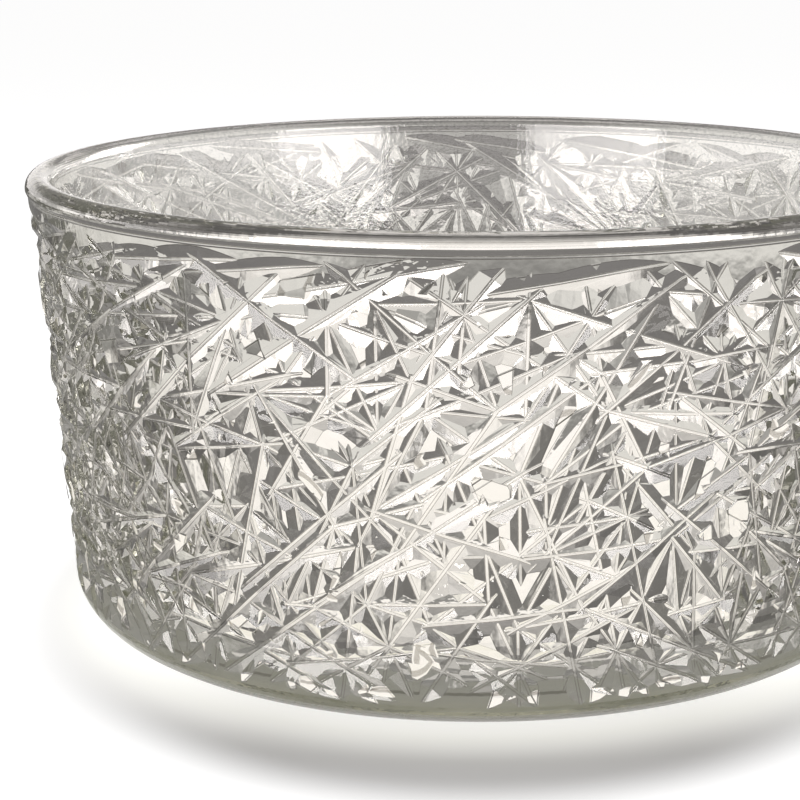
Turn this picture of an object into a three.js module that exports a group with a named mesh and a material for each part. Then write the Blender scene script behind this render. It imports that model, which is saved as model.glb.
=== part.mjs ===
/**
 * Clear pressed-glass bowl.
 *
 * One piece of glass: a heavy round bowl with a rounded lip, a slightly flared wall and
 * a rounded heel. V-shaped valleys run between stars all over the outside of the wall and
 * leave small flat lands between them. The inside is smooth and leans more than the outside,
 * so that the plunger of the press draws out of it, and the wall is thickest at its foot.
 *
 * Millimetres, +Z up. The origin is the centre of the ring that the bowl stands on.
 */

import * as THREE from 'three';

// Bowl sizes

const rimDiameter = 457; // over the outside of the lip
const height = 225; // from the standing ring to the top of the lip
const wallLeanDegrees = 4.4; // how far the wall leans outwards
const innerLeanDegrees = 7.5; // how far the inside of the wall leans outwards
const wallThickness = 12.5; // across the wall where it is thinnest, under the lip
const lipThickness = 13.5; // across the rounded lip, flush with the wall inside
const neckLength = 3; // slope from the lip down to the wall
const heelRadius = 24; // rounding between the wall and the underside
const baseThickness = 16; // glass under the inside floor
const floorFilletRadius = 28; // rounding between the inside floor and the wall
const standingRingWidth = 26; // flat ring under the base
const recessDepth = 1.5; // hollow inside the standing ring
const recessSlopeWidth = 5; // slope from the standing ring into the hollow

// Star pattern

const starRows = 8;
const starColumns = 60; // stars in a row, right round the bowl, and facets of every ring
const starScatter = 0.36; // most that a star lies off its place, in steps of the grid
const turnedShare = 0.6; // of the valleys along the rows that run from row to row instead
const landAreaLeast = 60; // of a land beside such a turned valley
const valleyDepth = 3.6; // at the deepest stars
const valleyDepthSpread = 1; // how much shallower the shallowest stars are
const flankDegrees = 40; // between a flank of a valley and the wall
const patternGapToNeck = 3; // plain wall left under the neck of the lip
const patternReachOnHeel = 9; // how far the pattern runs on round the heel

// How finely the rounded corners are drawn

const heelSteps = 4;
const lipSteps = 6;
const floorFilletSteps = 4;

// Sizes that follow from these

const wallLean = THREE.MathUtils.degToRad(wallLeanDegrees);
const innerLean = THREE.MathUtils.degToRad(innerLeanDegrees);
const flankSlope = Math.tan(THREE.MathUtils.degToRad(flankDegrees));
const lipRadius = lipThickness / 2;
const lipCentre = new THREE.Vector2(rimDiameter / 2 - lipRadius, height - lipRadius);
const outwards = new THREE.Vector2(Math.cos(wallLean), -Math.sin(wallLean));
const upTheWall = new THREE.Vector2(Math.sin(wallLean), Math.cos(wallLean));
const intoTheWall = new THREE.Vector2(Math.cos(innerLean), -Math.sin(innerLean));
const upTheInside = new THREE.Vector2(Math.sin(innerLean), Math.cos(innerLean));
const lipInnerEdge = lipCentre.clone().addScaledVector(intoTheWall, -lipRadius);
const neckFoot = lipInnerEdge
  .clone()
  .addScaledVector(outwards, wallThickness)
  .addScaledVector(upTheWall, -neckLength);

// The outer wall is a straight line from the neck down to where the heel takes over.
const heelTopHeight = heelRadius * (1 - Math.sin(wallLean));
const wallLength = (neckFoot.y - heelTopHeight) / upTheWall.y;
const heelTop = neckFoot.clone().addScaledVector(upTheWall, -wallLength);
const heelCentre = heelTop.clone().addScaledVector(outwards, -heelRadius);

// The inner wall runs down to where the fillet of the inside floor takes over.
const floorFilletTopHeight = baseThickness + floorFilletRadius * (1 - Math.sin(innerLean));
const innerWallLength = (lipInnerEdge.y - floorFilletTopHeight) / upTheInside.y;
const floorFilletTop = lipInnerEdge.clone().addScaledVector(upTheInside, -innerWallLength);
const floorFilletCentre = floorFilletTop.clone().addScaledVector(intoTheWall, -floorFilletRadius);

// The pattern is laid out on the unrolled wall: x runs round the bowl, and y runs up the
// wall from the top of the heel. Below zero, y runs on round the heel.
const unrolledRadius = (heelTop.x + neckFoot.x) / 2;
const unrolledLength = 2 * Math.PI * unrolledRadius;
const patternBottom = -patternReachOnHeel;
const patternTop = wallLength - patternGapToNeck;

/** Points of an arc between two directions, both in radians from the outward level. */
function arc(centre, radius, from, to, steps) {
  const points = [];
  for (let step = 0; step <= steps; step += 1) {
    const direction = from + ((to - from) * step) / steps;
    const spoke = new THREE.Vector2(Math.cos(direction), Math.sin(direction));
    points.push(spoke.multiplyScalar(radius).add(centre));
  }
  return points;
}

/** Section of the plain glass under the pattern, from the middle of the underside outwards. */
function undersideProfile() {
  const recessEdge = heelCentre.x - standingRingWidth;
  const patternStart = patternBottom / heelRadius - wallLean;
  return [
    new THREE.Vector2(0, recessDepth),
    new THREE.Vector2(recessEdge - recessSlopeWidth, recessDepth),
    new THREE.Vector2(recessEdge, 0),
    ...arc(heelCentre, heelRadius, -Math.PI / 2, patternStart, heelSteps),
  ];
}

/** Section of the plain glass above the pattern: the lip, the inside wall and the floor. */
function insideProfile() {
  return [
    heelTop.clone().addScaledVector(upTheWall, patternTop),
    neckFoot,
    ...arc(lipCentre, lipRadius, -wallLean, Math.PI - innerLean, lipSteps),
    ...arc(floorFilletCentre, floorFilletRadius, -innerLean, -Math.PI / 2, floorFilletSteps),
    new THREE.Vector2(0, baseThickness),
  ];
}

/** Collects the corners and triangles of one closed surface. */
class Surface {
  constructor() {
    this.corners = [];
    this.index = [];
  }

  corner(place) {
    this.corners.push(place);
    return this.corners.length - 1;
  }

  triangle(a, b, c) {
    this.index.push(a, b, c);
  }

  /** A ring of corners at one point of a section, or one corner where it meets the axis. */
  ring(point) {
    if (point.x === 0) {
      return [this.corner(new THREE.Vector3(0, 0, point.y))];
    }
    const ring = [];
    for (let column = 0; column < starColumns; column += 1) {
      const angle = (2 * Math.PI * column) / starColumns;
      const place = new THREE.Vector3(
        point.x * Math.cos(angle),
        point.x * Math.sin(angle),
        point.y,
      );
      ring.push(this.corner(place));
    }
    return ring;
  }

  /** Joins a ring to the next one along the section. */
  bridge(ring, next) {
    for (let column = 0; column < starColumns; column += 1) {
      const right = (column + 1) % starColumns;
      if (ring.length > 1) {
        this.triangle(ring[column], ring[right], next[right % next.length]);
      }
      if (next.length > 1) {
        this.triangle(ring[column % ring.length], next[right], next[column]);
      }
    }
  }

  /** Turns a section about the axis and gives back its rings. */
  revolve(profile) {
    const rings = profile.map((point) => this.ring(point));
    for (let step = 1; step < rings.length; step += 1) {
      this.bridge(rings[step - 1], rings[step]);
    }
    return rings;
  }

  toGeometry() {
    const geometry = new THREE.BufferGeometry().setFromPoints(this.corners);
    geometry.setIndex(this.index);
    geometry.computeVertexNormals();
    return geometry;
  }
}

/** Place in space of a point on the unrolled wall, lifted off the glass along its normal. */
function onWall(place, lift) {
  const angle = place.x / unrolledRadius;
  let lean = wallLean;
  let foot = heelTop.clone().addScaledVector(upTheWall, place.y);
  if (place.y < 0) {
    lean = wallLean - place.y / heelRadius;
    foot = new THREE.Vector2(Math.cos(lean), -Math.sin(lean))
      .multiplyScalar(heelRadius)
      .add(heelCentre);
  }
  const reach = foot.x + lift * Math.cos(lean);
  const level = foot.y - lift * Math.sin(lean);
  return new THREE.Vector3(reach * Math.cos(angle), reach * Math.sin(angle), level);
}

/** Random numbers from 0 to 1 that come out the same on every run. */
function makeRandom(seed) {
  const multiplier = 16807;
  const modulus = 2147483647;
  let state = seed;
  return () => {
    state = (state * multiplier) % modulus;
    return state / modulus;
  };
}

const random = makeRandom(2718);

/** The points where a plain ring borders the pattern, at no depth. */
function borderRow(y, ring) {
  return ring.map((corner, column) => {
    const x = (column * unrolledLength) / starColumns;
    return { place: new THREE.Vector2(x, y), depth: 0, corner };
  });
}

/** One row of stars, each off its place in the grid by a random amount. */
function starRow(surface, row) {
  const columnStep = unrolledLength / starColumns;
  const rowStep = (patternTop - patternBottom) / (starRows + 1);
  const stagger = (row % 2) / 2;
  const stars = [];
  for (let column = 0; column < starColumns; column += 1) {
    const shiftX = (2 * random() - 1) * starScatter;
    const shiftY = (2 * random() - 1) * starScatter;
    const depth = valleyDepth - random() * valleyDepthSpread;
    const place = new THREE.Vector2(
      (column + stagger + shiftX) * columnStep,
      patternBottom + (row + shiftY) * rowStep,
    );
    stars.push({ place, depth, corner: surface.corner(onWall(place, -depth)) });
  }
  return stars;
}

/** The places of three points, all on the same turn of the unrolled wall as the first. */
function placesOf(points) {
  const first = points[0].place;
  return points.map(({ place }) => {
    const turns = Math.round((place.x - first.x) / unrolledLength);
    return new THREE.Vector2(place.x - turns * unrolledLength, place.y);
  });
}

/** Area of a triangle on the unrolled wall, negative where it is turned over. */
function areaOf(points) {
  const [a, b, c] = placesOf(points);
  return b.sub(a).cross(c.sub(a)) / 2;
}

/** The smaller area of two lands. */
function leastArea(lands) {
  return Math.min(...lands.map(areaOf));
}

/** The two lands in one column between two rows, split either way across. */
function splitColumn(lower, upper, column) {
  const right = (column + 1) % starColumns;
  const rising = [
    [lower[column], lower[right], upper[right]],
    [upper[right], upper[column], lower[column]],
  ];
  const falling = [
    [lower[column], lower[right], upper[column]],
    [upper[right], upper[column], lower[right]],
  ];
  const risingRoom = Math.max(0, leastArea(rising));
  const fallingRoom = Math.max(0, leastArea(falling));
  const useRising = random() * (risingRoom + fallingRoom) < risingRoom;
  const [standing, hanging] = useRising ? rising : falling;
  return { standing, hanging };
}

/** Turns some of the valleys along the rows across to the rows above and below. */
function turnValleys(strips) {
  for (let row = 1; row < strips.length; row += 1) {
    for (let column = 0; column < starColumns; column += 1) {
      const below = strips[row - 1][column];
      const above = strips[row][column];
      const [right, left, tipBelow] = below.hanging;
      const tipAbove = above.standing[2];
      const turned = [
        [tipBelow, right, tipAbove],
        [tipAbove, left, tipBelow],
      ];
      if (leastArea(turned) > landAreaLeast && random() < turnedShare) {
        [below.hanging, above.standing] = turned;
      }
    }
  }
}

/**
 * The glass between three valleys. The flanks rise from the valleys at one slope, to a
 * flat land where there is room for it and to a point where there is not.
 */
function addLand(surface, points) {
  const [a, b, c] = placesOf(points);
  const sides = [b.distanceTo(c), c.distanceTo(a), a.distanceTo(b)];
  const perimeter = sides[0] + sides[1] + sides[2];
  const room = (2 * areaOf(points)) / perimeter;
  const middle = new THREE.Vector2()
    .addScaledVector(a, sides[0] / perimeter)
    .addScaledVector(b, sides[1] / perimeter)
    .addScaledVector(c, sides[2] / perimeter);
  const depth = (points[0].depth + points[1].depth + points[2].depth) / 3;
  const flankWidth = depth / flankSlope;
  if (flankWidth >= room) {
    const peak = surface.corner(onWall(middle, room * flankSlope - depth));
    points.forEach((point, side) => {
      surface.triangle(point.corner, points[(side + 1) % 3].corner, peak);
    });
    return;
  }
  const land = [a, b, c].map((place) => {
    return surface.corner(onWall(place.lerp(middle, flankWidth / room), 0));
  });
  surface.triangle(...land);
  points.forEach((point, side) => {
    const next = (side + 1) % 3;
    surface.triangle(point.corner, points[next].corner, land[next]);
    surface.triangle(point.corner, land[next], land[side]);
  });
}

/** The star pattern between the plain ring under it and the plain ring above it. */
function addPattern(surface, ringBelow, ringAbove) {
  const rows = [borderRow(patternBottom, ringBelow)];
  for (let row = 1; row <= starRows; row += 1) {
    rows.push(starRow(surface, row));
  }
  rows.push(borderRow(patternTop, ringAbove));
  const strips = [];
  for (let row = 1; row < rows.length; row += 1) {
    strips.push(ringBelow.map((corner, column) => splitColumn(rows[row - 1], rows[row], column)));
  }
  turnValleys(strips);
  for (const { standing, hanging } of strips.flat()) {
    addLand(surface, standing);
    addLand(surface, hanging);
  }
}

function makeGlassBowl() {
  const surface = new Surface();
  const undersideRings = surface.revolve(undersideProfile());
  const insideRings = surface.revolve(insideProfile());
  addPattern(surface, undersideRings.at(-1), insideRings[0]);

  const glass = new THREE.MeshStandardMaterial({
    color: 0xe4e8e2,
    roughness: 0.04,
    metalness: 0,
    transparent: true,
    opacity: 0.4,
    flatShading: true,
  });
  const bowl = new THREE.Mesh(surface.toGeometry(), glass);
  bowl.name = 'glass_bowl';
  return bowl;
}

const product = new THREE.Group();
product.add(makeGlassBowl());

export default product;
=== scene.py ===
"""A clear pressed-glass bowl in a pale studio.

The bowl is one piece of glass. Its plain form is a section turned about the axis. Geometry
nodes then cut V-shaped valleys into the wall, from star to star and right across several
stars, as a cutting wheel would.

Sizes are in millimetres, and become metres where a mesh, a lamp or a node tree is made.
"""

import logging
import math
from collections.abc import Mapping
from dataclasses import dataclass, field
from enum import Enum
from typing import Any

import bmesh
import bpy
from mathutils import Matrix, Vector


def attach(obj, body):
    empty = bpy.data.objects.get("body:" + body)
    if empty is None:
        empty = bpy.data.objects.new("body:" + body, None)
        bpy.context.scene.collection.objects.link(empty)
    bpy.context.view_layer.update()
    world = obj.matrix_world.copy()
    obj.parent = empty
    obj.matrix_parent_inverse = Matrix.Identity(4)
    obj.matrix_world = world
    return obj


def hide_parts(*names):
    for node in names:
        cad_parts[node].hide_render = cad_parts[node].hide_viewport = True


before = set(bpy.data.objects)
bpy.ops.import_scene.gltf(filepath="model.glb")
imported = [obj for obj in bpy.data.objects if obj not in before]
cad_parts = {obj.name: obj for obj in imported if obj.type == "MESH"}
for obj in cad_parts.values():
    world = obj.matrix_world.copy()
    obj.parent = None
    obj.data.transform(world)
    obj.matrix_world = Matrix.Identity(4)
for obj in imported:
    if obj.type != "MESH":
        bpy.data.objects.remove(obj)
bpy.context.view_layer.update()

MM = 0.001  # metres in a millimetre
ANY = 0.5  # a count above this is at least one
VALLEY_DISTANCE = "from_valley"  # the attribute for how far a point lies from its valley
LOG = logging.getLogger("bowl")

Colour = tuple[float, float, float]
Place = tuple[float, float]  # in the section, on the unrolled wall or in the picture
Span = tuple[float, float]  # the least and the greatest value of something
Fade = tuple[float, float]  # the value where an effect is whole, and the one where it has gone
Level = tuple[float, float]  # a height in the surroundings, and how light it is there
Softbox = tuple[float, float]  # the turn of its middle, and half its width


@dataclass(frozen=True)
class Wire:
    """An output socket of a node, for maths that is written as Python expressions."""

    graph: "Graph"
    socket: bpy.types.NodeSocket

    def maths(self, operation: str, *values: Any) -> "Wire":
        """Add a Math node.

        Args:
            operation: What the node does, by its name in Blender.
            values: What fills the node's inputs, in order.

        Returns:
            The node's result.
        """
        return self.graph.wire("ShaderNodeMath", {"operation": operation}, dict(enumerate(values)))

    def __add__(self, other: Any) -> "Wire":
        """Return self + other."""
        return self.maths("ADD", self, other)

    def __radd__(self, other: Any) -> "Wire":
        """Return other + self."""
        return self.maths("ADD", other, self)

    def __sub__(self, other: Any) -> "Wire":
        """Return self - other."""
        return self.maths("SUBTRACT", self, other)

    def __rsub__(self, other: Any) -> "Wire":
        """Return other - self."""
        return self.maths("SUBTRACT", other, self)

    def __mul__(self, other: Any) -> "Wire":
        """Return self * other."""
        return self.maths("MULTIPLY", self, other)

    def __rmul__(self, other: Any) -> "Wire":
        """Return other * self."""
        return self.maths("MULTIPLY", other, self)

    def __truediv__(self, other: Any) -> "Wire":
        """Return self / other."""
        return self.maths("DIVIDE", self, other)

    def __rtruediv__(self, other: Any) -> "Wire":
        """Return other / self."""
        return self.maths("DIVIDE", other, self)

    def __pow__(self, other: Any) -> "Wire":
        """Return self to the power of other."""
        return self.maths("POWER", self, other)

    def __rpow__(self, other: Any) -> "Wire":
        """Return other to the power of self."""
        return self.maths("POWER", other, self)

    def __abs__(self) -> "Wire":
        """Return the size of self without its sign."""
        return self.maths("ABSOLUTE", self)

    def at_least(self, other: Any) -> "Wire":
        """Return the larger of self and other."""
        return self.maths("MAXIMUM", self, other)

    def at_most(self, other: Any) -> "Wire":
        """Return the smaller of self and other."""
        return self.maths("MINIMUM", self, other)

    def above(self, other: Any) -> "Wire":
        """Return 1 where self is greater than other, and 0 elsewhere."""
        return self.maths("GREATER_THAN", self, other)

    def sine(self) -> "Wire":
        """Return the sine of self, an angle in radians."""
        return self.maths("SINE", self)

    def cosine(self) -> "Wire":
        """Return the cosine of self, an angle in radians."""
        return self.maths("COSINE", self)

    def rise_over(self, run: Any) -> "Wire":
        """Return the angle in radians of a line that rises by self over a run."""
        return self.maths("ARCTAN2", self, run)

    def ease(self, full: float, none: float) -> "Wire":
        """Return how whole an effect is, with a soft change between two values of self.

        Args:
            full: The value where the effect is whole.
            none: The value where it has gone.

        Returns:
            The share, from 0 to 1.
        """
        return self.graph.wire(
            "ShaderNodeMapRange",
            {"interpolation_type": "SMOOTHSTEP"},
            {"Value": self, "From Min": none, "From Max": full},
        )

    def blend(self, start: Any, end: Any) -> "Wire":
        """Return what lies a share of self, from 0 to 1, between two values."""
        return self * (end - start) + start


class Graph:
    """A node tree that nodes are added to."""

    FIRST_COLOUR, SECOND_COLOUR, MIXED_COLOUR = 6, 7, 2  # the Mix node's sockets for colours

    def __init__(self, tree: bpy.types.NodeTree) -> None:
        """Keep the tree and empty it."""
        self.tree = tree
        tree.nodes.clear()

    def node(
        self,
        kind: str,
        settings: Mapping[str, Any] | None = None,
        sockets: Mapping[str | int, Any] | None = None,
    ) -> bpy.types.Node:
        """Add a node.

        Args:
            kind: The node's type, by its name in Blender.
            settings: The node's own settings, which are set first.
            sockets: What goes into the node's inputs, by name or number: a value or a wire.

        Returns:
            The node.
        """
        made = self.tree.nodes.new(kind)
        for name, value in (settings or {}).items():
            setattr(made, name, value)
        for name, value in (sockets or {}).items():
            if isinstance(value, Wire):
                self.tree.links.new(value.socket, made.inputs[name])
            else:
                made.inputs[name].default_value = value
        return made

    def wire(
        self,
        kind: str,
        settings: Mapping[str, Any] | None = None,
        sockets: Mapping[str | int, Any] | None = None,
        output: str | int = 0,
    ) -> Wire:
        """Add a node and return one of its outputs as a wire.

        Args:
            kind: The node's type, by its name in Blender.
            settings: The node's own settings, which are set first.
            sockets: What goes into the node's inputs.
            output: The output that is wanted, by name or number.

        Returns:
            The output.
        """
        return Wire(self, self.node(kind, settings, sockets).outputs[output])

    def parts(self, vector: Wire) -> tuple[Wire, Wire, Wire]:
        """Return the three parts of a vector."""
        split = self.node("ShaderNodeSeparateXYZ", sockets={0: vector})
        return tuple(Wire(self, split.outputs[name]) for name in "XYZ")

    def light_path(self, name: str) -> Wire:
        """Return a fact about the way that the light takes."""
        return self.wire("ShaderNodeLightPath", output=name)

    def tinted(self, level: Wire, tint: Colour) -> Wire:
        """Return the colour that a level gives a tint."""
        channels = {number: level * share for number, share in enumerate(tint)}
        return self.wire("ShaderNodeCombineColor", sockets=channels)

    def mix_colours(self, share: Wire, first: Wire, second: Colour) -> Wire:
        """Mix two colours.

        Args:
            share: How much of the second colour the mix has.
            first: The first colour.
            second: The second colour.

        Returns:
            The mix.
        """
        sockets = {"Factor": share, self.FIRST_COLOUR: first, self.SECOND_COLOUR: (*second, 1)}
        return self.wire("ShaderNodeMix", {"data_type": "RGBA"}, sockets, self.MIXED_COLOUR)

    def mix_shaders(self, share: Wire, first: Wire, second: Wire) -> Wire:
        """Return a mix of two shaders, with this share of the second."""
        return self.wire("ShaderNodeMixShader", sockets={0: share, 1: first, 2: second})

    def shader(self, kind: str, colour: Colour | Wire) -> Wire:
        """Return a shader that needs nothing but its kind and a colour."""
        value = colour if isinstance(colour, Wire) else (*colour, 1)
        return self.wire(f"ShaderNode{kind}", sockets={"Color": value})


class Surface(Graph):
    """The node tree of a new material, which knows where the shaded point is on its object.

    The place is in millimetres, and reach is the distance from the axis.
    """

    def __init__(self, name: str) -> None:
        """Make the material and find the place.

        Args:
            name: The material's name.
        """
        self.material = bpy.data.materials.new(name)
        self.material.use_nodes = True
        super().__init__(self.material.node_tree)
        self.metres = self.wire("ShaderNodeTexCoord", output="Object")
        self.x, self.y, self.z = (part / MM for part in self.parts(self.metres))
        self.reach = (self.x * self.x + self.y * self.y) ** 0.5

    def noise(self, size: float, detail: float = 0.0) -> Wire:
        """Add a soft noise.

        Args:
            size: About how many millimetres its largest blots measure.
            detail: How many finer layers it has.

        Returns:
            The noise, around one half.
        """
        sockets = {"Vector": self.metres, "Scale": 1 / (size * MM), "Detail": detail}
        return self.wire("ShaderNodeTexNoise", sockets=sockets)

    def finish(self, **sockets: Wire) -> bpy.types.Material:
        """Lead shaders to the material's output, each by its socket's name, and return it."""
        self.node("ShaderNodeOutputMaterial", sockets=sockets)
        return self.material


class Dice:
    """Random numbers that come out the same on every run."""

    MULTIPLIER = 16807
    MODULUS = 2147483647

    def __init__(self, seed: int) -> None:
        """Start from a seed."""
        self.state = seed

    def roll(self) -> float:
        """Return the next number from 0 to 1."""
        self.state = self.state * self.MULTIPLIER % self.MODULUS
        return self.state / self.MODULUS

    def between(self, low: float, high: float) -> float:
        """Return the next number between two others."""
        return low + (high - low) * self.roll()


def new_object(name: str, data: bpy.types.ID) -> bpy.types.Object:
    """Make an object and add it to the scene.

    Args:
        name: Its name.
        data: Its mesh, camera or lamp.

    Returns:
        The object.
    """
    made = bpy.data.objects.new(name, data)
    bpy.context.scene.collection.objects.link(made)
    return made


@dataclass(frozen=True)
class ClearGlass:
    """Clear, fire-polished glass that is faintly olive where it is thick.

    The plunger of the press leaves a fine grain on the inside. Outside, the facets have soft
    waves and the bottoms of the valleys are rounded.
    """

    inside_reach: float  # the inside wall's distance from the axis at the lip
    inside_lean: float
    lip_height: float
    lip_centre: Place
    floor_height: float
    wall_foot: Place
    wall_lean: float

    ior: float = 1.5
    clear_tint: Colour = (1.0, 0.985, 0.96)
    depth_colour: Colour = (0.8, 0.805, 0.7)
    depth_density: float = 7

    # painted shade: dark lines beside the valleys and along the lands' edges
    line_shade_tint: Colour = (0.11, 0.09, 0.06)
    line_place: float = 0.7  # from the bottom of a valley to the dark line on each side of it
    line_half_width: float = 0.3
    line_strength: float = 0.95
    arris_depth: float = 0.1  # how far below the lands the fine line along their edges lies
    arris_fade: Fade = (1 / 3, 0.6)  # off that line, as shares of its depth
    arris_strength: float = 0.75
    round_reach: float = 0.9  # how far up its flanks a valley's bottom is rounded
    round_height: float = 0.3
    wave_size: float = 9  # of the soft waves that fire polishing leaves on the facets
    wave_detail: float = 2.5
    wave_height: float = 0.26

    inside_margin: float = 3  # how deep in the wall a point still counts as on the inside
    floor_margin: float = 1
    grain_size: float = 1.7
    grain_detail: float = 2
    grain_depth: float = 0.13
    grain_side: Fade = (40, -40)  # the y in which it fades, as only the far half has grain
    patch_size: float = 55  # of the patches in which the grain is stronger
    patch_detail: float = 3
    patch_fade: Fade = (0.6, 0.4)
    weakest_grain: float = 0.5
    # painted shade: dark specks where the inside's grain turns its reflection dark
    speck_fade: Fade = (0.6, 0.53)
    speck_shade: float = 0.22
    speck_gap: float = 20  # from the inside floor up to the lowest specks
    ripple_size: float = 22
    ripple_height: float = 0.03
    hollow_top: float = 200  # below this height the inside is very slightly hollow
    hollow_depth: float = 0.9
    hollow_length: float = 50

    # painted shade on the lip: grey streaks along it and a dark line on its top
    lip_grey: float = 0.68
    lip_drop: float = 2  # from the middle of the lip's round down to where the lip begins
    lip_top: Fade = (1.3, 1.65)  # angles round the lip in radians, from outward level
    lip_underside: Fade = (0.05, -0.2)
    lip_line: float = 0.55
    lip_line_turn: float = 1.62
    lip_line_fade: Fade = (0.06, 0.14)
    streaks_round_lip: float = 5
    streak_detail: float = 3
    streak_fade: Fade = (0.75, 0.4)

    ground_colour: Colour = (0.36, 0.355, 0.35)
    ground_share: float = 0.5
    ground_heights: Fade = (6, 9)
    open_heights: Fade = (100, 210)  # where a shadow gets all the light, and where the least
    wall_openness: float = 0.1  # the share of the light that this least is
    far_share: float = 0.45  # of the light that runs straight out of the far wall at its sides
    far_sides: Fade = (150, 50)
    far_depths: Fade = (60, 0)
    far_heights: Fade = (60, 30)
    most_walls: float = 1.5  # past this many surfaces, light runs straight on through the glass
    most_reflections: float = 3.5  # past this many, light that is caught in the glass is spent
    # painted light: a glow that stands in for light caught in the glass
    caught_glow: Colour = (0.17, 0.167, 0.15)
    # a dimming of reflected light that runs straight on through the glass
    reflection_dimming: Colour = (0.7, 0.69, 0.65)  # left of light that the glass has reflected

    def on_inside(self, graph: Surface, lowest: float) -> Wire:
        """Find where the bowl's inside is.

        Args:
            graph: The material's tree.
            lowest: The height from which the inside counts.

        Returns:
            1 on the inside, and 0 elsewhere.
        """
        drop = self.lip_height - graph.z
        border = self.inside_reach + self.inside_margin - drop * math.tan(self.inside_lean)
        return border.above(graph.reach) * graph.z.above(lowest)

    def from_valley(self, graph: Surface) -> Wire:
        """Return how far the shaded point lies from the bottom of its valley."""
        settings = {"attribute_name": VALLEY_DISTANCE}
        return graph.wire("ShaderNodeAttribute", settings, output="Fac") / MM

    def grain(self, graph: Surface) -> Wire:
        """Return the fine noise that the grain of the inside and its specks follow."""
        return graph.noise(self.grain_size, self.grain_detail)

    def inside_relief(self, graph: Surface) -> Wire:
        """Shape the inside: its grain, its soft ripples and its slight hollow.

        Args:
            graph: The material's tree.

        Returns:
            The relief in millimetres.
        """
        patches = graph.noise(self.patch_size, self.patch_detail).ease(*self.patch_fade)
        grain = self.grain(graph) * patches.blend(self.weakest_grain, 1)
        grain = grain * graph.y.ease(*self.grain_side) * self.grain_depth
        ripples = graph.noise(self.ripple_size) * self.ripple_height
        sunk = (self.hollow_top - graph.z).at_least(0).at_most(self.hollow_length)
        sunk = sunk / self.hollow_length
        return ripples - grain + sunk * sunk * self.hollow_depth

    def outside_relief(self, graph: Surface) -> Wire:
        """Shape the outside: the soft waves of its facets and its rounded valleys.

        Args:
            graph: The material's tree.

        Returns:
            The relief in millimetres.
        """
        waves = graph.noise(self.wave_size, self.wave_detail)
        rounding = self.from_valley(graph).ease(0, self.round_reach)
        return waves * self.wave_height + rounding * self.round_height

    def relief(self, graph: Surface) -> Wire:
        """Give the surface the reliefs of both sides.

        Args:
            graph: The material's tree.

        Returns:
            The surface normal.
        """
        inside = self.on_inside(graph, self.floor_height - self.floor_margin)
        height = self.inside_relief(graph) * inside
        height = height + self.outside_relief(graph) * (1 - inside)
        sockets = {"Height": height, "Distance": MM, "Strength": 1.0}
        return graph.wire("ShaderNodeBump", sockets=sockets)

    def dark_lines(self, graph: Surface) -> Wire:
        """Paint shade in fine lines beside the valleys' bottoms and along the edges of the lands.

        Args:
            graph: The material's tree.

        Returns:
            How dark they are, from 0 to 1.
        """
        off_line = abs(self.from_valley(graph) - self.line_place)
        valley = off_line.ease(0, self.line_half_width) * self.line_strength
        foot_reach, foot_height = self.wall_foot
        depth = (graph.z - foot_height) * math.sin(self.wall_lean)
        depth = depth - (graph.reach - foot_reach) * math.cos(self.wall_lean)
        arris = abs(depth / self.arris_depth - 1).ease(*self.arris_fade)
        return valley.at_least(arris * self.arris_strength)

    def lip_shade(self, graph: Surface) -> Wire:
        """Paint shade on the lip, in streaks along it and with one dark line on its top.

        Args:
            graph: The material's tree.

        Returns:
            The share of the colour that the painted shade takes.
        """
        lip_reach, lip_middle = self.lip_centre
        turn = (graph.z - lip_middle).rise_over(graph.reach - lip_reach)
        streaks = graph.wire(
            "ShaderNodeTexNoise",
            {"noise_dimensions": "1D"},
            {"W": turn, "Scale": self.streaks_round_lip, "Detail": self.streak_detail},
        )
        outside = turn.ease(*self.lip_top) * turn.ease(*self.lip_underside)
        grey = outside * (1 - streaks.ease(*self.streak_fade)) * (1 - self.lip_grey)
        line = abs(turn - self.lip_line_turn).ease(*self.lip_line_fade) * self.lip_line
        return (grey + line) * graph.z.above(lip_middle - self.lip_drop)

    def colour(self, graph: Surface) -> Wire:
        """Colour the surface: nearly clear, with painted shade in the lip, specks and dark lines.

        Args:
            graph: The material's tree.

        Returns:
            The colour.
        """
        specks = self.grain(graph).ease(*self.speck_fade) * graph.y.ease(*self.grain_side)
        specks = specks * self.on_inside(graph, self.floor_height + self.speck_gap)
        level = 1 - self.lip_shade(graph) - specks * self.speck_shade
        clear = graph.tinted(level, self.clear_tint)
        return graph.mix_colours(self.dark_lines(graph), clear, self.line_shade_tint)

    def straightness(self, graph: Surface) -> Wire:
        """Find how much light runs straight on through a surface, unbent.

        The foot lets all the light into the shadow, and the top of the wall little. Light
        that has passed two surfaces runs on, and so does a part of it at the far wall's sides.

        Args:
            graph: The material's tree.

        Returns:
            The share of the light.
        """
        openness = graph.z.ease(*self.open_heights).blend(self.wall_openness, 1)
        shadow = graph.light_path("Is Shadow Ray") * openness
        crossings = graph.light_path("Transmission Depth")
        far = graph.y.ease(*self.far_depths) * graph.z.ease(*self.far_heights)
        far = far * abs(graph.x).ease(*self.far_sides) * crossings.above(ANY) * self.far_share
        straight = shadow.at_least(graph.light_path("Is Diffuse Ray"))
        return straight.at_least(crossings.above(self.most_walls)).at_least(far)

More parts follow.
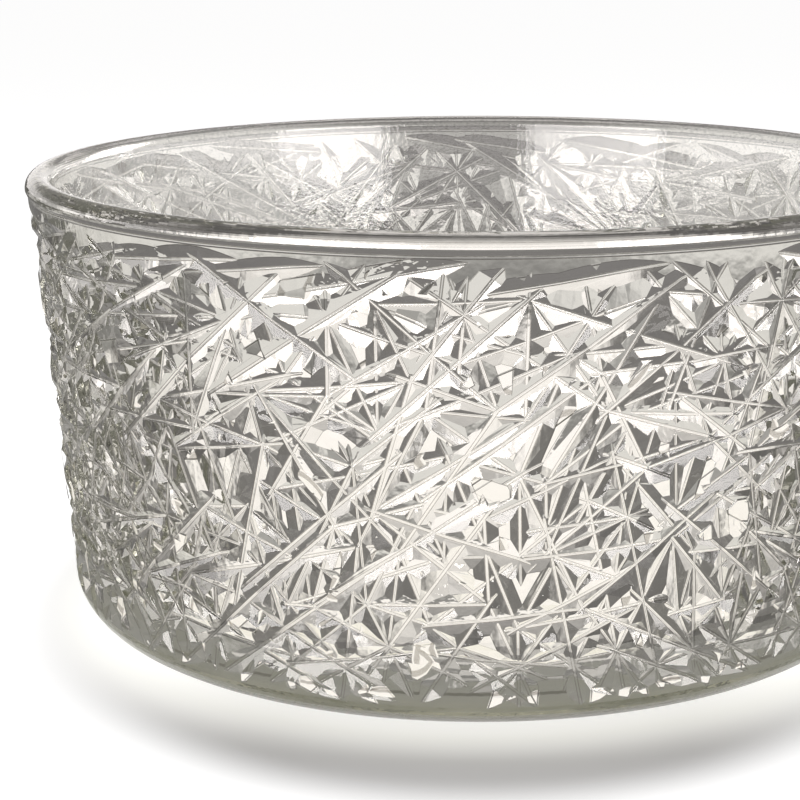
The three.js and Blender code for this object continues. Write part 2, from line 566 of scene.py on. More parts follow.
    def material(self) -> bpy.types.Material:
        """Make the material.

        Returns:
            The material.
        """
        graph = Surface("clear_glass")
        surface = graph.wire(
            "ShaderNodeBsdfPrincipled",
            sockets={
                "Base Color": self.colour(graph),
                "Roughness": 0.0,
                "IOR": self.ior,
                "Transmission Weight": 1,
                "Normal": self.relief(graph),
            },
        )
        crossings = graph.light_path("Transmission Depth")
        reflections = graph.light_path("Ray Depth") - crossings
        spent = graph.shader("Emission", self.caught_glow)
        surface = graph.mix_shaders(reflections.above(self.most_reflections), surface, spent)
        ground = graph.shader("BsdfDiffuse", self.ground_colour)
        ground_share = graph.z.ease(*self.ground_heights) * self.ground_share
        surface = graph.mix_shaders(ground_share, surface, ground)
        open_way = graph.mix_shaders(
            reflections.above(ANY) * crossings.above(self.most_walls),
            graph.shader("BsdfTransparent", (1, 1, 1)),
            graph.shader("BsdfTransparent", self.reflection_dimming),
        )
        surface = graph.mix_shaders(self.straightness(graph), surface, open_way)
        sockets = {"Color": (*self.depth_colour, 1), "Density": self.depth_density}
        depth = graph.wire("ShaderNodeVolumeAbsorption", sockets=sockets)
        return graph.finish(Surface=surface, Volume=depth)


class Ending(Enum):
    """What a cut runs up to past its outermost star."""

    STAR = "a short way past the star"
    PLAIN_RING = "on towards the plain ring beside the pattern"


@dataclass(frozen=True)
class Star:
    """A point of the unrolled wall that cuts meet in, and the directions of its cuts."""

    row: int
    x: float
    y: float
    headings: list[float] = field(default_factory=list)


@dataclass(frozen=True)
class Cut:
    """A V-shaped cut between two points of the unrolled wall."""

    start: Place
    end: Place
    taper: float  # the length over which it runs out at each end
    depth: float
    slope: float


@dataclass
class StarPattern:
    """The stars on the unrolled wall and the cuts that run through them."""

    unrolled_length: float
    bottom: float
    top: float
    rows: int = 8
    columns: int = 60
    scatter: float = 0.36  # of a step of the grid
    seed: int = 2718
    most_columns_across: int = 3
    most_rows_across: int = 3
    cuts_at_star: tuple[int, int] = (4, 6)
    least_turn: float = math.radians(17)  # between two cuts of a star
    tries: int = 14
    steep: float = 0.4  # the climb for each step along it of a cut that may reach a plain ring
    overrun: Span = (6, 15)
    ring_share: Span = (0.55, 1)  # of the way to a plain ring
    taper: Span = (7, 14)
    depth: Span = (2.0, 3.0)
    flank_degrees: Span = (21, 31)
    wide_share: float = 0.8  # of the stars in the top row that a wide cut joins to the next
    wide_taper: float = 9
    wide_depth: Span = (2.2, 3.0)
    wide_flank_degrees: Span = (11, 15)
    rim_cut_count: int = 26
    rim_cut_taper: float = 16
    rim_cut_length: Span = (60, 120)
    rim_cut_head: Span = (-2, 4)  # from the pattern's top down to where a cut begins
    rim_cut_fall: Span = (8, 26)
    rim_cut_depth: Span = (1.8, 2.6)
    rim_flank_degrees: Span = (18, 27)
    rim_cuts_rightwards: float = 0.5  # share of them
    dice: Dice = field(init=False)

    def __post_init__(self) -> None:
        """Start the random numbers."""
        self.dice = Dice(self.seed)

    def steps(self, most: int) -> int:
        """Return the next random number of steps on the grid: most forwards, or one less back."""
        return int(self.dice.between(-most, most + 1))

    def slope(self, degrees: Span) -> float:
        """Return the next random slope of a cut's flanks, between two angles."""
        return math.tan(math.radians(self.dice.between(*degrees)))

    def star_row(self, row: int) -> list[Star]:
        """Lay out a row of stars, each off its place in the grid by a random amount.

        Args:
            row: The row's number, from 1 at the bottom.

        Returns:
            The stars, in order round the bowl.
        """
        column_step = self.unrolled_length / self.columns
        row_step = (self.top - self.bottom) / (self.rows + 1)
        stars = []
        for column in range(self.columns):
            shift_x = (2 * self.dice.roll() - 1) * self.scatter
            shift_y = (2 * self.dice.roll() - 1) * self.scatter
            self.dice.roll()  # left unused, because every later star and cut depends on it
            x = (column + row % 2 / 2 + shift_x) * column_step
            stars.append(Star(row, x, self.bottom + (row + shift_y) * row_step))
        return stars

    def near(self, star: Star, other: Star) -> Place:
        """Return the place of another star on the same turn of the wall as the first."""
        turns = round((other.x - star.x) / self.unrolled_length)
        return other.x - turns * self.unrolled_length, other.y

    def has_room(self, star: Star, heading: float) -> bool:
        """Find out whether a star's cuts leave room for one more.

        Args:
            star: The star.
            heading: The direction of the new cut in radians.

        Returns:
            Whether they do.
        """
        for other in star.headings:
            turn = abs(heading - other) % math.pi
            if min(turn, math.pi - turn) < self.least_turn:
                return False
        return True

    def cuts(self) -> list[Cut]:
        """Lay out the whole pattern.

        Returns:
            Its cuts.
        """
        net = [self.star_row(row) for row in range(1, self.rows + 1)]
        fewest, most = self.cuts_at_star
        made: list[Cut] = []
        for row, stars in enumerate(net):
            for column, star in enumerate(stars):
                quota = int(self.dice.between(fewest, most + 1))
                for _ in range(self.tries):
                    if len(star.headings) >= quota:
                        break
                    across = self.steps(self.most_columns_across)
                    up = self.steps(self.most_rows_across)
                    if across == 0 and up == 0:
                        continue
                    goal = min(max(row + up, 0), self.rows - 1)
                    other = net[goal][(column + across) % self.columns]
                    if other is not star:
                        self.join(star, other, made)
        return made + self.wide_cuts(net[-1]) + self.rim_cuts()

    def join(self, star: Star, other: Star, made: list[Cut]) -> None:
        """Add the cut through two stars, if both have room for it.

        Args:
            star: The first star.
            other: The second star.
            made: The cuts so far, which the new one joins.
        """
        far = self.near(star, other)
        run = Vector((far[0] - star.x, far[1] - star.y))
        heading = math.atan2(run.y, run.x)
        if not (self.has_room(star, heading) and self.has_room(other, heading)):
            return
        star.headings.append(heading)
        other.headings.append(heading)
        way = run.normalized()
        start = Vector((star.x, star.y)) - way * self.past(star, -way.y)
        end = Vector(far) + way * self.past(other, way.y)
        taper = self.dice.between(*self.taper)
        depth = self.dice.between(*self.depth)
        made.append(Cut(tuple(start), tuple(end), taper, depth, self.slope(self.flank_degrees)))

    def past(self, star: Star, rise: float) -> float:
        """Choose how far a cut runs on past a star.

        Args:
            star: The outermost star of the cut.
            rise: How much the cut climbs for each step along it there.

        Returns:
            The length.
        """
        outermost = star.row == (self.rows if rise > 0 else 1)
        ending = Ending.PLAIN_RING if outermost and abs(rise) > self.steep else Ending.STAR
        if ending is Ending.STAR:
            return self.dice.between(*self.overrun)
        border = self.top if rise > 0 else self.bottom
        return abs((border - star.y) / rise) * self.dice.between(*self.ring_share)

    def wide_cuts(self, stars: list[Star]) -> list[Cut]:
        """Lay out the wide, flat cuts along the top row, which reach the plain ring.

        Args:
            stars: The stars of the top row.

        Returns:
            The cuts.
        """
        made = []
        for column, star in enumerate(stars):
            if self.dice.roll() > self.wide_share:
                continue
            far = self.near(star, stars[(column + 1) % self.columns])
            slope = self.slope(self.wide_flank_degrees)
            depth = self.dice.between(*self.wide_depth)
            made.append(Cut((star.x, star.y), far, self.wide_taper, depth, slope))
        return made

    def rim_cuts(self) -> list[Cut]:
        """Lay out the long cuts that run down from the plain ring at a low angle.

        Returns:
            The cuts.
        """
        made = []
        step = self.unrolled_length / self.rim_cut_count
        for number in range(self.rim_cut_count):
            length = self.dice.between(*self.rim_cut_length)
            length = length if self.dice.roll() < self.rim_cuts_rightwards else -length
            head = self.top - self.dice.between(*self.rim_cut_head)
            foot = head - self.dice.between(*self.rim_cut_fall)
            x = (number + self.dice.roll()) * step
            slope = self.slope(self.rim_flank_degrees)
            depth = self.dice.between(*self.rim_cut_depth)
            made.append(Cut((x, head), (x + length, foot), self.rim_cut_taper, depth, slope))
        return made


class ValleyCutter(Graph):
    """Geometry nodes that cut every valley into the plain form of the bowl.

    A three-sided prism is copied for each cut and stretched into the cut's wedge on the
    unrolled wall. The wedges are wrapped round the bowl and taken away from it.
    """

    INPUTS = {
        "Geometry": "Geometry",
        "Cut Lines": "Object",
        "Glass": "Material",
        "Segments": "Int",
        "Full Share": "Float",
        "Stand Off": "Float",
        "Unrolled Radius": "Float",
        "Heel Radius": "Float",
        "Heel Centre Reach": "Float",
        "Heel Centre Height": "Float",
        "Wall Lean": "Float",
        "Smooth Angle": "Float",
    }
    PRISM_SIDES = 3
    TIP = 0.99  # past this share of the way from its middle, a prism's corner is at an end
    END_HALF_WIDTH = 0.05 * MM  # of a wedge, whose ends can't shrink to nothing

    def __init__(self) -> None:
        """Make the tree and its inputs, and lay out its nodes."""
        super().__init__(bpy.data.node_groups.new("Cut valleys", "GeometryNodeTree"))
        sockets = self.tree.interface
        for name, kind in self.INPUTS.items():
            sockets.new_socket(name, in_out="INPUT", socket_type=f"NodeSocket{kind}")
        sockets.new_socket("Geometry", in_out="OUTPUT", socket_type="NodeSocketGeometry")
        self.given = self.node("NodeGroupInput")
        bowl = self.cut_bowl(self.wedges(self.prisms()))
        self.node("NodeGroupOutput", sockets={"Geometry": bowl})

    def size(self, name: str) -> Wire:
        """Return one of the tree's inputs."""
        return Wire(self, self.given.outputs[name])

    def named(self, name: str, kind: str = "FLOAT") -> Wire:
        """Return a named attribute."""
        return self.wire("GeometryNodeInputNamedAttribute", {"data_type": kind}, {"Name": name})

    def store(
        self, geometry: Wire, name: str, value: Wire, kind: str = "FLOAT", domain: str = "POINT"
    ) -> Wire:
        """Store a value on a geometry.

        Args:
            geometry: The geometry.
            name: The name of the attribute that keeps the value.
            value: The value.
            kind: The value's type, by its name in Blender.
            domain: What has a value each, by its name in Blender.

        Returns:
            The geometry with the attribute.
        """
        settings = {"data_type": kind, "domain": domain}
        sockets = {"Geometry": geometry, "Name": name, "Value": value}
        return self.wire("GeometryNodeStoreNamedAttribute", settings, sockets)

    def compare(self, operation: str, value: Wire, limit: Any) -> Wire:
        """Return whether a number and a limit compare as the operation says."""
        settings = {"data_type": "FLOAT", "operation": operation}
        return self.wire("FunctionNodeCompare", settings, {0: value, 1: limit})

    def choose(self, condition: Wire, holds: Any, fails: Any) -> Wire:
        """Return one number where a condition holds, and another where it fails."""
        sockets = {0: condition, 1: fails, 2: holds}
        return self.wire("GeometryNodeSwitch", {"input_type": "FLOAT"}, sockets)

    def prisms(self) -> Wire:
        """Copy a prism for each cut, with corners that know which part of it they are.

        Returns:
            The prisms.
        """
        place = self.wire("GeometryNodeInputPosition")
        given = {"Object": self.size("Cut Lines")}
        lines = self.wire("GeometryNodeObjectInfo", sockets=given, output="Geometry")
        points = self.wire("GeometryNodeMeshToPoints", sockets={"Mesh": lines})
        points = self.store(points, "start", place, "FLOAT_VECTOR")
        prism = self.wire(
            "GeometryNodeMeshCylinder",
            sockets={
                "Vertices": self.PRISM_SIDES,
                "Side Segments": self.size("Segments"),
                "Radius": 1.0,
                "Depth": 2.0,
            },
        )
        x, y, z = self.parts(place)
        prism = self.store(prism, "valley", self.compare("GREATER_THAN", x, 0.0), "BOOLEAN")
        prism = self.store(prism, "side", y / math.sin(math.pi / self.PRISM_SIDES))
        prism = self.store(prism, "along", z)
        sockets = {"Points": points, "Instance": prism}
        copies = self.wire("GeometryNodeInstanceOnPoints", sockets=sockets)
        number = self.wire("GeometryNodeInputIndex")
        copies = self.store(copies, "cut", number, "INT", "INSTANCE")
        return self.wire("GeometryNodeRealizeInstances", sockets={"Geometry": copies})

    def wedges(self, prisms: Wire) -> Wire:
        """Stretch each prism into the wedge of its cut, with tapered ends.

        Args:
            prisms: The prisms.

        Returns:
            The wedges, which lie round the bowl.
        """
        along, depth, off = self.named("along"), self.named("depth"), self.size("Stand Off")
        start_x, start_y, _ = self.parts(self.named("start", "FLOAT_VECTOR"))
        run_x, run_y, _ = self.parts(self.named("run", "FLOAT_VECTOR"))
        length = (run_x * run_x + run_y * run_y) ** 0.5
        tapering = self.named("taper") / length * 2
        at_tip = self.compare("GREATER_THAN", abs(along), self.TIP)
        tip = along * (1 + tapering * off / depth)  # its bottom runs on, up out of the wall
        full = along * (1 - tapering) / self.size("Full Share")
        share = (self.choose(at_tip, tip, full) + 1) * 0.5
        dip = self.choose(at_tip, 0 - off, depth)
        half_width = (dip + off) / self.named("slope") + self.END_HALF_WIDTH
        aside = self.named("side") * half_width
        x = start_x + run_x * share - run_y / length * aside
        y = start_y + run_y * share + run_x / length * aside
        lift = self.choose(self.named("valley", "BOOLEAN"), 0 - dip, off)
        sockets = {"Geometry": prisms, "Position": self.round_bowl(x, y, lift)}
        return self.wire("GeometryNodeSetPosition", sockets=sockets)

    def round_bowl(self, x: Wire, y: Wire, lift: Wire) -> Wire:
        """Wrap a point of the unrolled wall round the bowl.

        Args:
            x: How far round the bowl it lies.
            y: How far up the wall, from the heel's top, below which it lies on the heel.
            lift: How far it stands off the surface.

        Returns:
            Its place.
        """
        wall_lean, heel_radius = self.size("Wall Lean"), self.size("Heel Radius")
        turn = x / self.size("Unrolled Radius")
        up = y.at_least(0)
        lean = wall_lean + (0 - y).at_least(0) / heel_radius
        swing = heel_radius + lift
        reach = self.size("Heel Centre Reach") + swing * lean.cosine() + up * wall_lean.sine()
        level = self.size("Heel Centre Height") - swing * lean.sine() + up * wall_lean.cosine()
        sockets = {"X": reach * turn.cosine(), "Y": reach * turn.sine(), "Z": level}
        return self.wire("ShaderNodeCombineXYZ", sockets=sockets)

    def cut_bowl(self, wedges: Wire) -> Wire:
        """Take the wedges away from the bowl, smooth its round surfaces and give it its glass.

        Args:
            wedges: The wedges.

        Returns:
            The bowl.
        """
        sockets = {"Geometry": wedges, "Group ID": self.named("cut", "INT")}
        wedges = self.wire("GeometryNodeSplitToInstances", {"domain": "FACE"}, sockets)
        settings = {"operation": "DIFFERENCE", "solver": "MANIFOLD"}
        sockets = {"Mesh 1": self.size("Geometry"), "Mesh 2": wedges}
        bowl = self.wire("GeometryNodeMeshBoolean", settings, sockets)
        bend = self.wire("GeometryNodeInputMeshEdgeAngle")
        soft = self.compare("LESS_THAN", bend, self.size("Smooth Angle"))
        sockets = {"Geometry": bowl, "Shade Smooth": soft}
        bowl = self.wire("GeometryNodeSetShadeSmooth", {"domain": "EDGE"}, sockets)
        bowl = self.wire("GeometryNodeRealizeInstances", sockets={"Geometry": bowl})
        sockets = {"Geometry": bowl, "Material": self.size("Glass")}
        return self.wire("GeometryNodeSetMaterial", sockets=sockets)


def arc(centre: Vector, radius: float, start: float, end: float, steps: int) -> list[Vector]:
    """Lay points on an arc.

    Args:
        centre: The arc's centre in the section.
        radius: Its radius.
        start: Its first direction, in radians from outward level.
        end: Its last direction.
        steps: How many steps it takes.

    Returns:
        The points, first and last included.
    """
    turns = [start + (end - start) * step / steps for step in range(steps + 1)]
    return [centre + radius * Vector((math.cos(turn), math.sin(turn))) for turn in turns]


@dataclass
class GlassBowl:
    """The whole bowl, pressed in one piece of glass."""

    rim_diameter: float = 457
    height: float = 225
    wall_lean: float = math.radians(4.4)
    inner_lean: float = math.radians(7.5)
    wall_thickness: float = 12.5
    lip_thickness: float = 13.5
    neck_length: float = 3
    heel_radius: float = 24
    base_thickness: float = 16
    floor_fillet_radius: float = 28
    standing_ring_width: float = 26
    recess_depth: float = 1.5
    recess_slope_width: float = 5
    pattern_gap_to_neck: float = 3
    pattern_reach_on_heel: float = 9
    stand_off: float = 0.5  # how far the wedges of the cuts stand out of the wall
    wedge_segments: int = 4  # along a wedge, whose first and last ones are its tapers
    least_valley: float = math.radians(20)  # how sharply two flanks turn where they meet
    no_valley: float = 1000  # the distance from a valley that a face without one gets
    smooth_angle: float = math.radians(20)  # edges that turn less than this are smooth
    segments: int = 240
    lip_steps: int = 24
    heel_steps: int = 12
    fillet_steps: int = 12

    def __post_init__(self) -> None:
        """Work out the corners of the section from its sizes."""
        lean, inner = self.wall_lean, self.inner_lean
        outwards = Vector((math.cos(lean), -math.sin(lean)))
        up_the_wall = Vector((math.sin(lean), math.cos(lean)))
        inner_outwards = Vector((math.cos(inner), -math.sin(inner)))
        up_inside = Vector((math.sin(inner), math.cos(inner)))
        self.lip_radius = self.lip_thickness / 2
        lip_reach = self.rim_diameter / 2 - self.lip_radius
        self.lip_centre = Vector((lip_reach, self.height - self.lip_radius))
        lip_inner_edge = self.lip_centre - self.lip_radius * inner_outwards
        neck = self.wall_thickness * outwards - self.neck_length * up_the_wall
        self.neck_foot = lip_inner_edge + neck
        heel_top_height = self.heel_radius * (1 - math.sin(lean))
        self.wall_length = (self.neck_foot.y - heel_top_height) / up_the_wall.y
        heel_top = self.neck_foot - self.wall_length * up_the_wall
        self.heel_centre = heel_top - self.heel_radius * outwards
        fillet_rise = self.floor_fillet_radius * (1 - math.sin(inner))
        inner_length = (lip_inner_edge.y - self.base_thickness - fillet_rise) / up_inside.y
        fillet_top = lip_inner_edge - inner_length * up_inside
        self.fillet_centre = fillet_top - self.floor_fillet_radius * inner_outwards
        self.unrolled_radius = (heel_top.x + self.neck_foot.x) / 2
        self.glass = ClearGlass(
            inside_reach=lip_inner_edge.x,
            inside_lean=inner,
            lip_height=lip_inner_edge.y,
            lip_centre=tuple(self.lip_centre),
            floor_height=self.base_thickness,
            wall_foot=tuple(heel_top),
            wall_lean=lean,
        )

    def section(self) -> list[Vector]:
        """Draw the section of the plain bowl, from the underside round to the inside floor.

        Returns:
            Its corners.
        """
        lean, inner = self.wall_lean, self.inner_lean
        recess_edge = self.heel_centre.x - self.standing_ring_width
        quarter = math.pi / 2
        return [
            Vector((0, self.recess_depth)),
            Vector((recess_edge - self.recess_slope_width, self.recess_depth)),
            Vector((recess_edge, 0)),
            *arc(self.heel_centre, self.heel_radius, -quarter, -lean, self.heel_steps),
            self.neck_foot,
            *arc(self.lip_centre, self.lip_radius, -lean, math.pi - inner, self.lip_steps),
            *arc(self.fillet_centre, self.floor_fillet_radius, -inner, -quarter, self.fillet_steps),
            Vector((0, self.base_thickness)),
        ]

    def plain_form(self) -> bpy.types.Object:
        """Turn the section about the axis.

        Returns:
            The bowl without its pattern, as a closed mesh.
        """
        points: list[tuple[float, float, float]] = []
        rings: list[list[int]] = []
        for corner in self.section():
            count = self.segments if corner.x > 0 else 1
            rings.append(list(range(len(points), len(points) + count)))
            for segment in range(count):
                turn = 2 * math.pi * segment / self.segments
                reach = corner.x * MM
                points.append((reach * math.cos(turn), reach * math.sin(turn), corner.y * MM))
        faces: list[tuple[int, ...]] = []
        for ring, after in zip(rings, rings[1:]):
            for segment in range(self.segments):
                right = (segment + 1) % self.segments
                corners = [
                    ring[segment % len(ring)],
                    ring[right % len(ring)],
                    after[right % len(after)],
                    after[segment % len(after)],
                ]
                faces.append(tuple(dict.fromkeys(corners)))
        mesh = bpy.data.meshes.new("bowl")
        mesh.from_pydata(points, [], faces)
        mesh.validate()
        return new_object("bowl", mesh)

    def cut_lines(self) -> bpy.types.Object:
        """Write the cuts down for the geometry nodes.

        Returns:
            An object with one point for each cut, which carries the cut's sizes.
        """
        pattern = StarPattern(
            unrolled_length=2 * math.pi * self.unrolled_radius,
            bottom=-self.pattern_reach_on_heel,
            top=self.wall_length - self.pattern_gap_to_neck,
        )
        cuts = pattern.cuts()
        mesh = bpy.data.meshes.new("cut_lines")
        mesh.from_pydata([(*(MM * part for part in cut.start), 0) for cut in cuts], [], [])
        runs = [[MM * (end - start) for start, end in zip(cut.start, cut.end)] for cut in cuts]
        run = mesh.attributes.new("run", "FLOAT_VECTOR", "POINT")
        run.data.foreach_set("vector", [value for x, y in runs for value in (x, y, 0)])
        numbers = {
            "depth": [cut.depth * MM for cut in cuts],
            "taper": [cut.taper * MM for cut in cuts],
            "slope": [cut.slope for cut in cuts],
        }
        for name, values in numbers.items():
            mesh.attributes.new(name, "FLOAT", "POINT").data.foreach_set("value", values)
        return new_object("cut_lines", mesh)

    def cut_valleys(self, bowl: bpy.types.Object) -> None:
        """Cut the pattern into the plain form and give the result its glass.

        Args:
            bowl: The plain form.
        """
        lines = self.cut_lines()
        tree = ValleyCutter().tree
        modifier = bowl.modifiers.new("Cut valleys", "NODES")
        modifier.node_group = tree
        values = {
            "Cut Lines": lines,
            "Glass": self.glass.material(),
            "Segments": self.wedge_segments,
            "Full Share": 1 - 2 / self.wedge_segments,  # from a prism's middle to its tapers
            "Stand Off": self.stand_off * MM,
            "Unrolled Radius": self.unrolled_radius * MM,
            "Heel Radius": self.heel_radius * MM,
            "Heel Centre Reach": self.heel_centre.x * MM,
            "Heel Centre Height": self.heel_centre.y * MM,
            "Wall Lean": self.wall_lean,
            "Smooth Angle": self.smooth_angle,
        }
        for item in tree.interface.items_tree:
            if item.in_out == "INPUT" and item.name in values:
                modifier[item.identifier] = values[item.name]
        settled = bowl.evaluated_get(bpy.context.evaluated_depsgraph_get())
        mesh = bpy.data.meshes.new_from_object(settled)
        bowl.modifiers.clear()
        bowl.data = mesh
        mesh.name = "bowl"
        bpy.data.objects.remove(lines)

    def measure_flanks(self, mesh: bpy.types.Mesh) -> None:
        """Store on each corner of a flank how far it lies from the valley at the flank's foot.

        Args:
            mesh: The bowl's mesh.
        """
        work = bmesh.new()
        work.from_mesh(mesh)
        distance = work.loops.layers.float.new(VALLEY_DISTANCE)
        for face in work.faces:
            turns = [(edge.calc_face_angle_signed(0), edge) for edge in face.edges]
            valleys = [edge for turn, edge in turns if turn < -self.least_valley]
            if not valleys:
                for loop in face.loops:
                    loop[distance] = self.no_valley * MM
                continue
            longest = max(valleys, key=lambda edge: edge.calc_length())
            foot, end = (vertex.co for vertex in longest.verts)
            along = (end - foot).normalized()
            for loop in face.loops:
                offset = loop.vert.co - foot
                loop[distance] = (offset - offset.dot(along) * along).length
        work.to_mesh(mesh)
        work.free()

    def build(self) -> bpy.types.Object:
        """Make the bowl, riding on the part's body.

        Returns:
            The bowl.
        """
        bowl = self.plain_form()
        self.cut_valleys(bowl)
        self.measure_flanks(bowl.data)
        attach(bowl, "root")
        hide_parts("glass_bowl")
        return bowl


@dataclass
class Floor:
    """The floor, a large pale disc that keeps the bowl's shadow and is white further away.

    A painted glow lightens the bowl's shadow at the sides. What is seen through the glass
    finds it open near the bowl, and beyond it a glow of painted grey light.
    """

    radius: float = 12000
    corners: int = 96
    drop: float = 0.2  # below the bowl
    tone: float = 0.95
    far_tone: float = 0.35  # where its own glow makes it white
    tint: Colour = (1.0, 0.993, 0.985)
    far_distances: Fade = (300, 250)
    side_weight: float = 1.5  # how much more a square of a distance to the side counts there
    sides: Fade = (200, 80)
    least_glow: float = 0.01
    far_glow: float = 0.9
    # painted light: a glow that lightens the bowl's shadow at the sides
    side_glow: float = 0.32
    open_distances: Fade = (560, 620)
    # painted light: beyond the open ring, the glass sees the floor glow instead of lit
    beyond_tint: Colour = (1.0, 0.98, 0.95)
    beyond_level: float = 0.24
    outer_level: float = 0.14  # this much more where it is far out
    outer_distances: Fade = (900, 680)
    back_level: float = 0.4  # and this much more at the back, to the sides
    back_distances: Fade = (900, 650)
    back: Fade = (300, 0)

    def for_camera(self, graph: Surface) -> Wire:
        """Dress the floor for the camera, with a painted glow that lightens the shadow's sides.

        Args:
            graph: The material's tree.

        Returns:
            The shader.
        """
        distance = (graph.x * graph.x * self.side_weight + graph.y * graph.y) ** 0.5
        far = distance.ease(*self.far_distances)
        aside = abs(graph.x).ease(*self.sides) * (1 - far)
        seen = graph.light_path("Is Camera Ray")
        glow = (far * self.far_glow + aside * self.side_glow) * seen + self.least_glow
        colour = graph.tinted(far.blend(self.tone, self.far_tone), self.tint)
        shade = graph.shader("BsdfDiffuse", colour)
        glow = graph.shader("Emission", graph.tinted(glow, (1, 1, 1)))
        return graph.wire("ShaderNodeAddShader", sockets={0: shade, 1: glow})

    def through_glass(self, graph: Surface) -> Wire:
        """Dress the floor as seen through the glass: open near the bowl, painted glow beyond.

        Args:
            graph: The material's tree.

        Returns:
            The shader.
        """
        outer = graph.reach.ease(*self.outer_distances) * self.outer_level
        back = abs(graph.x).ease(*self.sides) * graph.y.ease(*self.back)
        back = back * graph.reach.ease(*self.back_distances) * self.back_level
        level = outer + back + self.beyond_level
        beyond = graph.shader("Emission", graph.tinted(level, self.beyond_tint))
        open_way = graph.shader("BsdfTransparent", (1, 1, 1))
        return graph.mix_shaders(graph.reach.ease(*self.open_distances), beyond, open_way)

    def material(self) -> bpy.types.Material:
        """Make the material.

        Returns:
            The material.
        """
        graph = Surface("floor")
        shaders = self.for_camera(graph), self.through_glass(graph)
        through = graph.light_path("Is Transmission Ray")
        return graph.finish(Surface=graph.mix_shaders(through, *shaders))

    def build(self) -> bpy.types.Object:
        """Make the floor.

        Returns:
            The floor.
        """
        radius = self.radius * MM
        turns = [2 * math.pi * corner / self.corners for corner in range(self.corners)]
        ring = [(radius * math.cos(turn), radius * math.sin(turn), 0) for turn in turns]
        mesh = bpy.data.meshes.new("floor")
        mesh.from_pydata(ring, [], [tuple(range(self.corners))])
        mesh.materials.append(self.material())
        floor = new_object("floor", mesh)
        floor.location.z = -self.drop * MM
        return floor


@dataclass(frozen=True)
class Way:
    """A direction in the surroundings, as the parts of a vector of length one."""

    right: Wire
    back: Wire  # away from the camera
    up: Wire


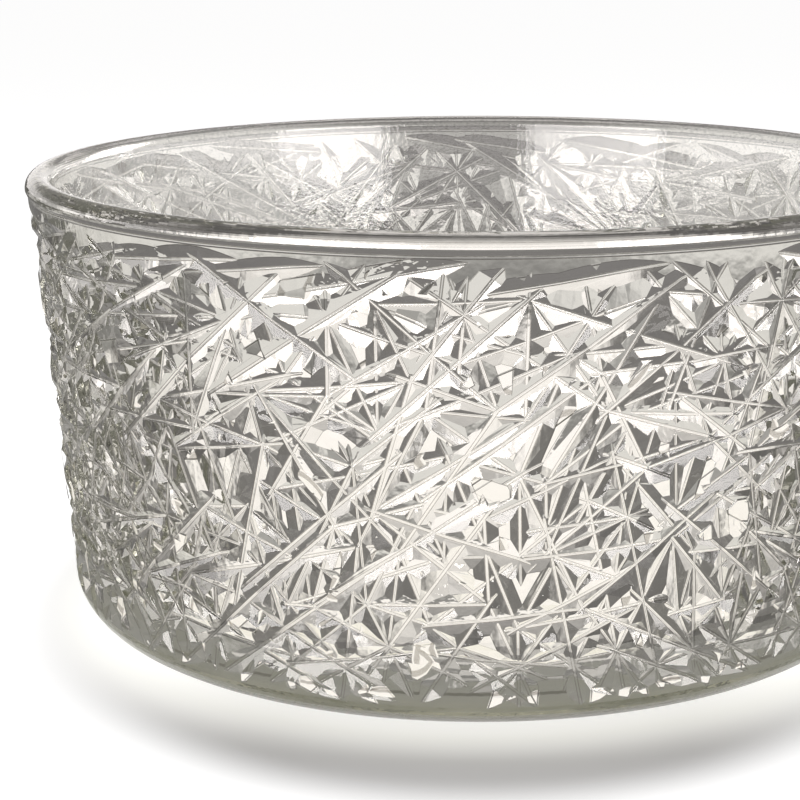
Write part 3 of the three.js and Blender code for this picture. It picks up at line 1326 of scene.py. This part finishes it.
@dataclass
class Studio:
    """The camera, the lamp and the surroundings.

    In the surroundings, heights are sines of the angle above level, and turns are degrees
    from the camera's side.
    """

    rim_radius: float = 228.5
    bowl_height: float = 225
    camera_distance: float = 4.6  # rim radii
    camera_elevation: float = math.radians(13.4)
    lens: float = 90
    clip: Span = (50, 60000)
    axis_pixel: Place = (480.5, 375)
    image_side: float = 800

    lamp_rise: float = math.radians(87.5)
    lamp_distance: float = 1700
    lamp_side: float = 500
    lamp_radiance: float = 34  # where 1 is white
    shade_dimming: float = 0.5  # of the surroundings' light on the floor

    warmth: Colour = (1.0, 0.962, 0.945)
    room_levels: tuple[Level, ...] = ((0.0, 0.2), (0.12, 0.2), (0.18, 0.5), (0.5, 0.5), (0.9, 0.4))
    side_dimming: float = 0.6
    front_light: float = 0.12
    front_edge: Fade = (-0.5, 0.2)  # parts of the direction that point away from the camera
    cards: int = 8  # pale cards that stand round the bowl, below the horizon
    card_edge: Fade = (0.08, -0.5)  # cosines, which are 1 in the middle of a card
    card_light: float = 1.13
    gap_light: float = 0.2
    card_head: Fade = (-0.1, -0.02)
    card_foot: Fade = (-0.74, -0.34)
    low_light: float = 0.11
    bottom_heights: Fade = (-0.86, -0.76)
    bottom_light: float = 0.8

    softboxes: tuple[Softbox, ...] = ((46.4, 18), (-35.1, 21.3), (132, 13))
    box_blur: float = 2.5
    box_top: Fade = (0.48, 0.56)
    box_light: float = 11
    wall_top: Fade = (0.12, 0.25)
    front_wall_light: float = 2.2
    side_wall_light: float = 5.0
    side_wall_turns: Fade = (72, 50)
    back_wall_light: float = 1.2
    back_wall_turns: Fade = (135, 105)

    def __post_init__(self) -> None:
        """Find the middle of the bowl, which the camera and the lamp face."""
        self.middle = Vector((0, 0, self.bowl_height / 2 * MM))

    def camera(self) -> None:
        """Set up the camera."""
        data = bpy.data.cameras.new("camera")
        data.lens = self.lens
        data.shift_x = 0.5 - self.axis_pixel[0] / self.image_side
        data.shift_y = self.axis_pixel[1] / self.image_side - 0.5
        data.clip_start, data.clip_end = (distance * MM for distance in self.clip)
        camera = new_object("camera", data)
        tilt = self.camera_elevation
        away = Vector((0, -math.cos(tilt), math.sin(tilt)))
        camera.location = self.middle + away * self.camera_distance * self.rim_radius * MM
        camera.rotation_euler = (math.pi / 2 - tilt, 0, 0)
        bpy.context.scene.camera = camera

    def lamp(self) -> None:
        """Set up the softbox over the bowl, which neither the camera nor the glass shows."""
        data = bpy.data.lights.new("overhead", "AREA")
        data.size = self.lamp_side * MM
        data.energy = self.lamp_radiance * math.pi * data.size * data.size
        lamp = new_object("overhead", data)
        lamp.visible_camera = False
        lamp.visible_transmission = False
        lamp.visible_glossy = False
        way = Vector((0, math.cos(self.lamp_rise), math.sin(self.lamp_rise)))
        lamp.location = self.middle + way * self.lamp_distance * MM
        lamp.rotation_euler = (-way).to_track_quat("-Z", "Y").to_euler()

    def room(self, graph: Graph, way: Way) -> Wire:
        """Light the room above the horizon, in soft bands that darken to both sides.

        Args:
            graph: The world's tree.
            way: The direction.

        Returns:
            The level of the light.
        """
        band = graph.node("ShaderNodeValToRGB", sockets={0: way.up})
        stops = band.color_ramp.elements
        given = len(stops)
        for number, (height, grey) in enumerate(self.room_levels):
            stop = stops[number] if number < given else stops.new(height)
            stop.position, stop.color = height, (grey, grey, grey, 1)
        level = Wire(graph, band.outputs[0]) * (1 - abs(way.right) * self.side_dimming)
        return level + way.back.ease(*self.front_edge) * self.front_light

    def below_horizon(self, way: Way) -> Wire:
        """Light the part below the horizon: pale cards, dark under them and pale at the bottom.

        Args:
            way: The direction.

        Returns:
            The level of the light.
        """
        turn = way.right.rise_over(way.back)
        lobes = (turn * self.cards).cosine().ease(*self.card_edge)
        cards = lobes.blend(self.gap_light, self.card_light)
        level = way.up.ease(*self.card_foot).blend(cards, self.low_light)
        return way.up.ease(*self.bottom_heights).blend(level, self.bottom_light)

    def mirrored(self, way: Way) -> Wire:
        """Light what the surface of the glass mirrors: softboxes and low pale walls.

        Args:
            way: The direction.

        Returns:
            The level of the light.
        """
        turn = way.right.rise_over(0 - way.back) / math.radians(1)
        boxes = sum(
            abs(turn - middle).ease(half - self.box_blur, half + self.box_blur)
            for middle, half in self.softboxes
        )
        boxes = boxes * way.up.ease(*self.box_top) * self.box_light
        side = abs(turn).ease(*self.side_wall_turns)
        wall = side.blend(self.front_wall_light, self.side_wall_light)
        wall = abs(turn).ease(*self.back_wall_turns).blend(wall, self.back_wall_light)
        return boxes.at_least(wall * way.up.ease(*self.wall_top))

    def surroundings(self) -> None:
        """Set the world: white to the camera, and light and dark bands to the glass."""
        world = bpy.data.worlds.new("surroundings")
        world.use_nodes = True
        bpy.context.scene.world = world
        graph = Graph(world.node_tree)
        way = Way(*graph.parts(graph.wire("ShaderNodeTexCoord", output="Generated")))
        below = way.up.ease(*self.card_head)
        level = below.blend(self.room(graph, way), self.below_horizon(way))
        bounced = graph.light_path("Is Glossy Ray") * (1 - graph.light_path("Is Transmission Ray"))
        level = level + self.mirrored(way) * bounced
        level = level * (1 - graph.light_path("Is Diffuse Ray") * self.shade_dimming)
        light = graph.shader("Background", graph.tinted(level, self.warmth))
        white = graph.shader("Background", (1, 1, 1))
        mixed = graph.mix_shaders(graph.light_path("Is Camera Ray"), light, white)
        graph.node("ShaderNodeOutputWorld", sockets={"Surface": mixed})

    def build(self) -> None:
        """Set up the whole studio."""
        self.camera()
        self.lamp()
        self.surroundings()
        bpy.context.scene.view_settings.view_transform = "Standard"


def main() -> None:
    """Build the studio, the floor and the bowl."""
    logging.basicConfig(level=logging.INFO, format="%(name)s: %(message)s")
    Studio().build()
    Floor().build()
    bowl = GlassBowl().build()
    triangles = sum(len(face.vertices) - 2 for face in bowl.data.polygons)
    LOG.info("%s: %d triangles", bowl.name, triangles)


if __name__ == "__main__":
    main()
